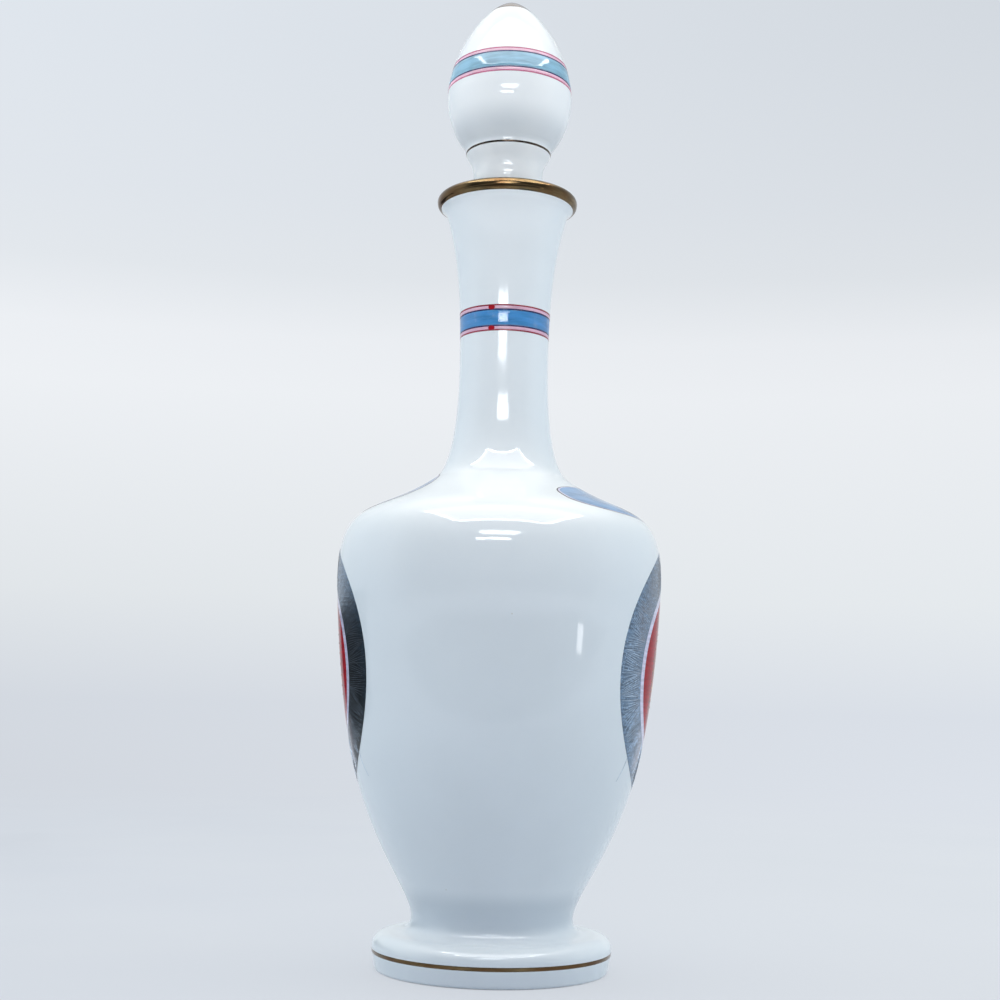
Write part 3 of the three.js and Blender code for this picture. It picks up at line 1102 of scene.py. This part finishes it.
class DECANTER_OT_neck_band(Operator):
    """Lay the blue and rose band round the neck, with the red lap where its ends meet"""

    bl_idname = "decanter.neck_band"
    bl_label = "Neck band"

    def execute(self, context):
        side = bottle_side(context.scene.decanter_bottle)
        height = context.scene.decanter_decor.neck_band_height
        width = context.scene.decanter_decor.neck_band_width
        enamel_band("neck_band", "bottle", side, height, width, "blue_enamel", "crimson_enamel")
        stripe = width / 2 + FINE_LINE + STRIPE / 2
        laid_decor({"neck_band_lap": ("lap_enamel", laps, stripe)}, LAP_ANGLE, height)
        return {"FINISHED"}


class DECANTER_OT_head_band(Operator):
    """Lay the blue and rose band round the stopper's head"""

    bl_idname = "decanter.head_band"
    bl_label = "Head band"

    def execute(self, context):
        side = stopper_side(context.scene.decanter_bottle, context.scene.decanter_stopper)
        height = context.scene.decanter_decor.head_band_height
        width = context.scene.decanter_decor.head_band_width
        enamel_band("head_band", "stopper", side, height, width, "pale_blue_enamel", "plum_enamel")
        return {"FINISHED"}


def leaf_width(widest, lean):
    """Width of a pointed leaf along its length. A larger lean puts the widest part nearer its tip."""
    return lambda share: widest * math.sin(max(min(share, 1), 0) ** lean * math.pi)


def ring_strokes(bm, inner, outer, count):
    """Fine radial strokes in sheaves that lean one way and then the other."""
    across = outer - inner
    for i in range(count):
        angle = FULL_TURN * i / count
        uneven = [noise.noise(Vector((i * step, 5, 0))) for step in (0.7, 1.3, 0.9)]
        lean = SHEAF_LEAN * math.sin(i / SHEAF * math.pi) + UNEVEN_LEAN * uneven[0]
        start = inner + across * (0.04 + 0.5 * max(uneven[1], 0))
        end = outer - across * (0.02 + 0.5 * abs(uneven[2]))

        def path(share, angle=angle, lean=lean, start=start, end=end):
            return toward(angle + lean * (share - 0.5)) * (start + (end - start) * share)

        blade(bm, path, swelling(STROKE, 0.45, 0.55), GILT_RELIEF, cells=7)


def petals(bm, start, end, width, offset=0.0):
    """A ring of pointed leaves round the middle."""
    for i in range(ROSETTE_PETALS):
        way = toward(FULL_TURN * (i + offset) / ROSETTE_PETALS)
        blade(bm, straight(way * start, way * end), leaf_width(width, 0.8), GILT_RELIEF, cells=10)


def rosette(bm, radius):
    """A generic flower of two rings of leaves round a disc, in a ring of beads."""
    flat_ring(bm, 0, 0.17 * radius, high=GILT_RELIEF)
    petals(bm, 0.2 * radius, radius, 0.2 * radius)
    petals(bm, 0.4 * radius, 0.8 * radius, 0.1 * radius, offset=0.5)
    for i in range(ROSETTE_BEADS):
        bead(bm, toward(FULL_TURN * i / ROSETTE_BEADS) * 1.15 * radius, ROSETTE_BEAD)


def sprig(bm, radius):
    """Two faint, short stems that leave the medallion at its foot."""
    for hand in (-1, 1):
        start, turn_point, end = (Vector((hand * across, up)) * radius for across, up in SPRIG_SHARES)

        def stem(share, start=start, turn_point=turn_point, end=end):
            return start.lerp(turn_point, share).lerp(turn_point.lerp(end, share), share)

        blade(bm, stem, lambda share: FINE_LINE * (1.1 - 0.6 * share), COAT, cells=16)


def medallion(side_name, angle, decor):
    """Ring, halo, field and gilding of one medallion and its sprig, at an angle round the bottle."""
    radius = decor.medallion_radius
    halo = HALO_SHARE * radius
    field = FIELD_SHARE * radius
    designs = {
        "medallion_ring": (f"steel_lustre_{side_name}", flat_ring, halo, radius),
        "medallion_halo": ("lilac_enamel", flat_ring, field, halo),
        "medallion_field": ("red_enamel", flat_ring, 0, field),
        "medallion_strokes": ("pale_gilding", ring_strokes, halo, radius, decor.ring_strokes),
        "medallion_rosette": ("bright_gold", rosette, ROSETTE_SHARE * radius),
        "sprig": ("grey_blue_enamel", sprig, radius),
    }
    laid_decor(designs, angle, decor.medallion_height, f"_{side_name}")


def oblong_ring(bm, inner, outer, reach, rise):
    """A flat ring made a rounded oblong, of the half width and half height of reach and rise."""
    flat_ring(bm, inner, outer)
    for vert in bm.verts:
        way = vert.co.xy.normalized() if vert.co.xy.length else Vector((1, 0))
        bulk = abs(way.x) ** CARTOUCHE_SQUARENESS + abs(way.y) ** CARTOUCHE_SQUARENESS
        fuller = bulk ** (-1 / CARTOUCHE_SQUARENESS)
        vert.co.x *= fuller
        vert.co.y *= fuller * rise / reach


def fan(bm, reach, rise):
    """A small fan of ribs that rise from a bead."""
    foot = Vector((0, -0.85 * rise))
    for i in range(-FAN_RIBS, FAN_RIBS + 1):
        turned = math.radians(90) * i / (FAN_RIBS + 0.5)
        rib = Vector((math.sin(turned) * 0.5 * reach, math.cos(turned) * 1.1 * rise))
        path = straight(foot + rib * 0.12, foot + rib)
        blade(bm, path, leaf_width(FAN_RIB_WIDTH, 1.4), GILT_RELIEF, cells=12)
    bead(bm, foot, FAN_BEAD)


def cartouche(side_name, angle, sizes):
    """An oblong blue cartouche on the shoulder, its edge lined, with a small gilt fan at its foot."""
    reach, rise, height = sizes
    inner = reach - CARTOUCHE_EDGE
    designs = {
        "cartouche_field": ("sky_enamel", oblong_ring, 0, inner, reach, rise),
        "cartouche_edge": ("lilac_enamel", oblong_ring, inner, reach, reach, rise),
        "cartouche_border": ("worn_gold", oblong_ring, reach, reach + FINE_LINE, reach, rise),
        "cartouche_fan": ("pale_gilding", fan, reach, rise),
    }
    laid_decor(designs, angle, height, f"_{side_name}")


class DECANTER_OT_medallions(Operator):
    """Lay the two side medallions, the sprigs below them and the shoulder cartouches above them"""

    bl_idname = "decanter.medallions"
    bl_label = "Medallions"

    def execute(self, context):
        decor = context.scene.decanter_decor
        sides = {
            "right": (decor.right_turn, decor.right_cartouche),
            "left": (math.pi - decor.left_turn, decor.left_cartouche),
        }
        for side_name, (angle, cartouche_sizes) in sides.items():
            medallion(side_name, angle, decor)
            cartouche(side_name, angle, cartouche_sizes)
        return {"FINISHED"}


def sheen(name, place, width, height, radiance, aim=None, colour=(1, 1, 1)):
    """A bright opening of the tent, overhead or aimed at a place, that is seen mirrored in the glaze."""
    data = bpy.data.lights.new(name, "AREA")
    data.shape = "RECTANGLE"
    data.size = width
    data.size_y = height
    data.energy = radiance * math.pi * width * height
    data.color = colour
    made = bpy.data.objects.new(name, data)
    bpy.context.scene.collection.objects.link(made)
    made.location = place
    if aim:
        made.rotation_euler = (Vector(aim) - Vector(place)).to_track_quat("-Z", "Y").to_euler()
    made.visible_camera = False
    made.visible_diffuse = False
    return made


def soft_fill(name, place, width, radiance, aim, spread_angle, colour):
    """A warm lamp aimed at a place that lights the object and isn't seen mirrored in it."""
    fill = sheen(name, place, width, FILL_HEIGHT, radiance, aim, colour)
    fill.data.spread = spread_angle
    fill.visible_diffuse = True
    fill.visible_glossy = False


def card_material(name):
    """Dull dark card."""
    material, tree, surface = new_material(name)
    colour = blend_colour(tree, noise_at(tree, position(tree), 6), *CARD_COLOURS)
    feed(tree, surface, {"Base Color": colour, "Roughness": 0.9})
    return material


def dark_card(name, place, width, height, tilt, turned):
    """A dark card of the studio that only shows mirrored in the glaze and the gilding."""
    bm = bmesh.new()
    bmesh.ops.create_grid(bm, x_segments=1, y_segments=1, size=0.5)
    shape = Matrix.Translation(place) @ Matrix.Rotation(turned, 4, "Z") @ Matrix.Rotation(tilt, 4, "X")
    bmesh.ops.transform(bm, matrix=shape @ Matrix.Diagonal((width, height, 1, 1)), verts=bm.verts)
    card = new_object(name, bm, shared(bpy.data.materials, "dark_card", card_material))
    for ray in ("camera", "diffuse", "transmission", "volume_scatter", "shadow"):
        setattr(card, f"visible_{ray}", False)


def ramp_colour(tree, value, stops):
    """A colour that goes smoothly through stops of position and colour."""
    made = add(tree, "ShaderNodeValToRGB", {"Fac": value})
    ramp = made.color_ramp
    while len(ramp.elements) < len(stops):
        ramp.elements.new(0.5)
    for element, (position_on_ramp, colour) in zip(ramp.elements, stops):
        element.position = position_on_ramp
        element.color = paint(colour)
    return made.outputs["Color"]


def studio_world(settings):
    """White tent with a pale backdrop, open to a dim room at the front."""
    world = bpy.data.worlds.new("studio")
    bpy.context.scene.world = world
    world.use_nodes = True
    tree = world.node_tree
    across, ahead, up = axes(tree, add(tree, "ShaderNodeTexCoord").outputs["Generated"])
    # Painted shade and light: the backdrop is darker towards the lower left and upper right, lighter towards
    # the lower right and upper left
    lower = combine(tree, "SUBTRACT", 0.15, up)
    slant = combine(tree, "MULTIPLY", combine(tree, "MULTIPLY", lower, across), 0.78)
    backdrop = scaled(tree, ramp_colour(tree, up, BACKDROP), combine(tree, "ADD", slant, 1.0))
    azimuth = combine(tree, "ARCTAN2", across, combine(tree, "MULTIPLY", ahead, -1.0))
    off_front = combine(tree, "ABSOLUTE", azimuth, 0.0)
    beside = spread(tree, off_front, *FRONT_OPENING)
    above = spread(tree, up, *ABOVE_OPENING)
    overhead = spread(tree, up, *OVERHEAD)
    around = blend_colour(tree, beside, paint(settings.front_light), paint(settings.side_light))
    lit = blend_colour(tree, overhead, around, paint(settings.top_light))
    tent = spread(tree, combine(tree, "MAXIMUM", beside, above), 0.0, 1.0, 0.16, 0.92)
    mirrored_sides = blend_colour(tree, tent, BLACK, backdrop)
    mirrored = blend_colour(tree, overhead, mirrored_sides, CEILING_MIRRORED)
    rays = add(tree, "ShaderNodeLightPath").outputs
    shiny = combine(tree, "MAXIMUM", rays["Is Glossy Ray"], rays["Is Transmission Ray"])
    unseen = blend_colour(tree, shiny, lit, mirrored)
    colour = blend_colour(tree, rays["Is Camera Ray"], unseen, backdrop)
    feed(tree, tree.nodes["Background"].inputs, {"Color": colour})


def floor_material():
    """Pale paper floor that takes a soft shadow and fades into the backdrop, with painted shade that makes it
    darker towards the left.
    """
    material, tree, surface = new_material("pale_floor")
    place = position(tree)
    reach = add(tree, "ShaderNodeVectorMath", {0: place}, operation="LENGTH").outputs["Value"]
    far = spread(tree, reach, 0.2, 1.2)
    across = axes(tree, place)["X"]
    # Painted shade: the near floor goes from a darker colour at the left to a lighter one at the right, and
    # the far floor is scaled darker towards the left
    near = blend_colour(tree, spread(tree, across, -0.3, 0.3), FLOOR_LEFT, FLOOR_RIGHT)
    clouded = blend_colour(tree, noise_at(tree, place, 9, detail=2.0), near, FLOOR_CLOUD)
    sideways = combine(tree, "DIVIDE", across, reach)
    slant = combine(tree, "ADD", combine(tree, "MULTIPLY", sideways, 0.117), 1.0)
    colour = blend_colour(tree, far, clouded, scaled(tree, HORIZON, slant))
    feed(tree, surface, {"Base Color": blend_colour(tree, 0.72, BLACK, colour), "Roughness": 0.7})
    glow = add(tree, "ShaderNodeEmission", {"Color": colour, "Strength": 1.0})
    rays = add(tree, "ShaderNodeLightPath").outputs
    pictured = combine(tree, "MAXIMUM", rays["Is Camera Ray"], rays["Is Glossy Ray"])
    pictured = combine(tree, "MAXIMUM", pictured, rays["Is Transmission Ray"])
    share = combine(tree, "MULTIPLY", pictured, spread(tree, far, 0.0, 1.0, 0.7, 1.0))
    paper = tree.nodes["Principled BSDF"].outputs["BSDF"]
    mix = add(tree, "ShaderNodeMixShader", {0: share, 1: paper, 2: glow.outputs["Emission"]})
    feed(tree, tree.nodes["Material Output"].inputs, {"Surface": mix.outputs["Shader"]})
    return material


class DECANTER_OT_stage(Operator):
    """Set the pale floor, the light tent and the camera at the photograph's angle"""

    bl_idname = "decanter.stage"
    bl_label = "Stage"

    def execute(self, context):
        settings = context.scene.decanter_stage
        bm = bmesh.new()
        bmesh.ops.create_circle(bm, cap_ends=True, cap_tris=False, segments=128, radius=FLOOR_RADIUS)
        new_object("floor", bm, floor_material())
        for name, card in CARDS.items():
            dark_card(name, *card)
        studio_world(settings)
        across = PANEL_RIGHT - PANEL_LEFT
        middle = (PANEL_LEFT + PANEL_RIGHT) / 2
        half_way = PANEL_NEAR / 2
        sheen("ceiling", (middle, half_way, PANEL_HEIGHT), across, -PANEL_NEAR, settings.ceiling_sheen)
        sheen("strip_front", (middle, PANEL_NEAR, PANEL_HEIGHT), across, STRIP_WIDTH, FRONT_STRIP)
        for name, edge in (("strip_left", PANEL_LEFT), ("strip_right", PANEL_RIGHT)):
            sheen(name, (edge, half_way, PANEL_HEIGHT), STRIP_WIDTH, -PANEL_NEAR, SIDE_STRIP)
        for name, opening in OPENINGS.items():
            sheen(name, *opening)
        soft_fill("neck_fill", NECK_FILL_PLACE, NECK_FILL_WIDTH, settings.neck_fill, *NECK_FILL_AIM)
        for name, place in HEAD_FILL_PLACES.items():
            soft_fill(name, place, HEAD_FILL_WIDTH, settings.head_fill, *HEAD_FILL_AIM)
        context.scene.view_settings.view_transform = "Standard"
        data = bpy.data.cameras.new("camera")
        data.sensor_width = SENSOR_WIDTH
        data.lens = SENSOR_WIDTH * FOCUS
        data.clip_start = NEAREST_SEEN
        camera = bpy.data.objects.new("camera", data)
        context.scene.collection.objects.link(camera)
        place = Matrix.Translation((CAMERA_SHIFT, -settings.camera_distance, settings.camera_height))
        tilt = Matrix.Rotation(math.pi / 2 + settings.camera_pitch, 4, "X")
        camera.matrix_world = place @ tilt @ Matrix.Rotation(settings.camera_roll, 4, "Z")
        context.scene.camera = camera
        return {"FINISHED"}


class DECANTER_PT_build(Panel):
    """Sizes, finishes and steps of the decanter"""

    bl_label = "Decanter"
    bl_idname = "DECANTER_PT_build"
    bl_space_type = "VIEW_3D"
    bl_region_type = "UI"
    bl_category = "Decanter"

    def draw(self, context):
        for step in STEPS:
            self.layout.operator(step.bl_idname)
        for name, group in SETTINGS.items():
            box = self.layout.box()
            box.label(text=group.__doc__)
            for field in group.__annotations__:
                box.prop(getattr(context.scene, name), field)


STEPS = (
    DECANTER_OT_bottle,
    DECANTER_OT_stopper,
    DECANTER_OT_cork,
    DECANTER_OT_gilt_lines,
    DECANTER_OT_neck_band,
    DECANTER_OT_head_band,
    DECANTER_OT_medallions,
    DECANTER_OT_stage,
)

SETTINGS = {
    "decanter_bottle": BottleSizes,
    "decanter_stopper": StopperSizes,
    "decanter_decor": DecorSizes,
    "decanter_finishes": Finishes,
    "decanter_stage": StageSettings,
}


def register():
    for name, group in SETTINGS.items():
        bpy.utils.register_class(group)
        setattr(bpy.types.Scene, name, PointerProperty(type=group))
    for kind in (*STEPS, DECANTER_PT_build):
        bpy.utils.register_class(kind)


def unregister():
    for kind in (DECANTER_PT_build, *reversed(STEPS)):
        bpy.utils.unregister_class(kind)
    for name, group in reversed(SETTINGS.items()):
        delattr(bpy.types.Scene, name)
        bpy.utils.unregister_class(group)


def main():
    register()
    bpy.ops.decanter.bottle()
    bpy.ops.decanter.stopper()
    bpy.ops.decanter.cork()
    bpy.ops.decanter.gilt_lines()
    bpy.ops.decanter.neck_band()
    bpy.ops.decanter.head_band()
    bpy.ops.decanter.medallions()
    bpy.ops.decanter.stage()


if __name__ == "__main__":
    main()
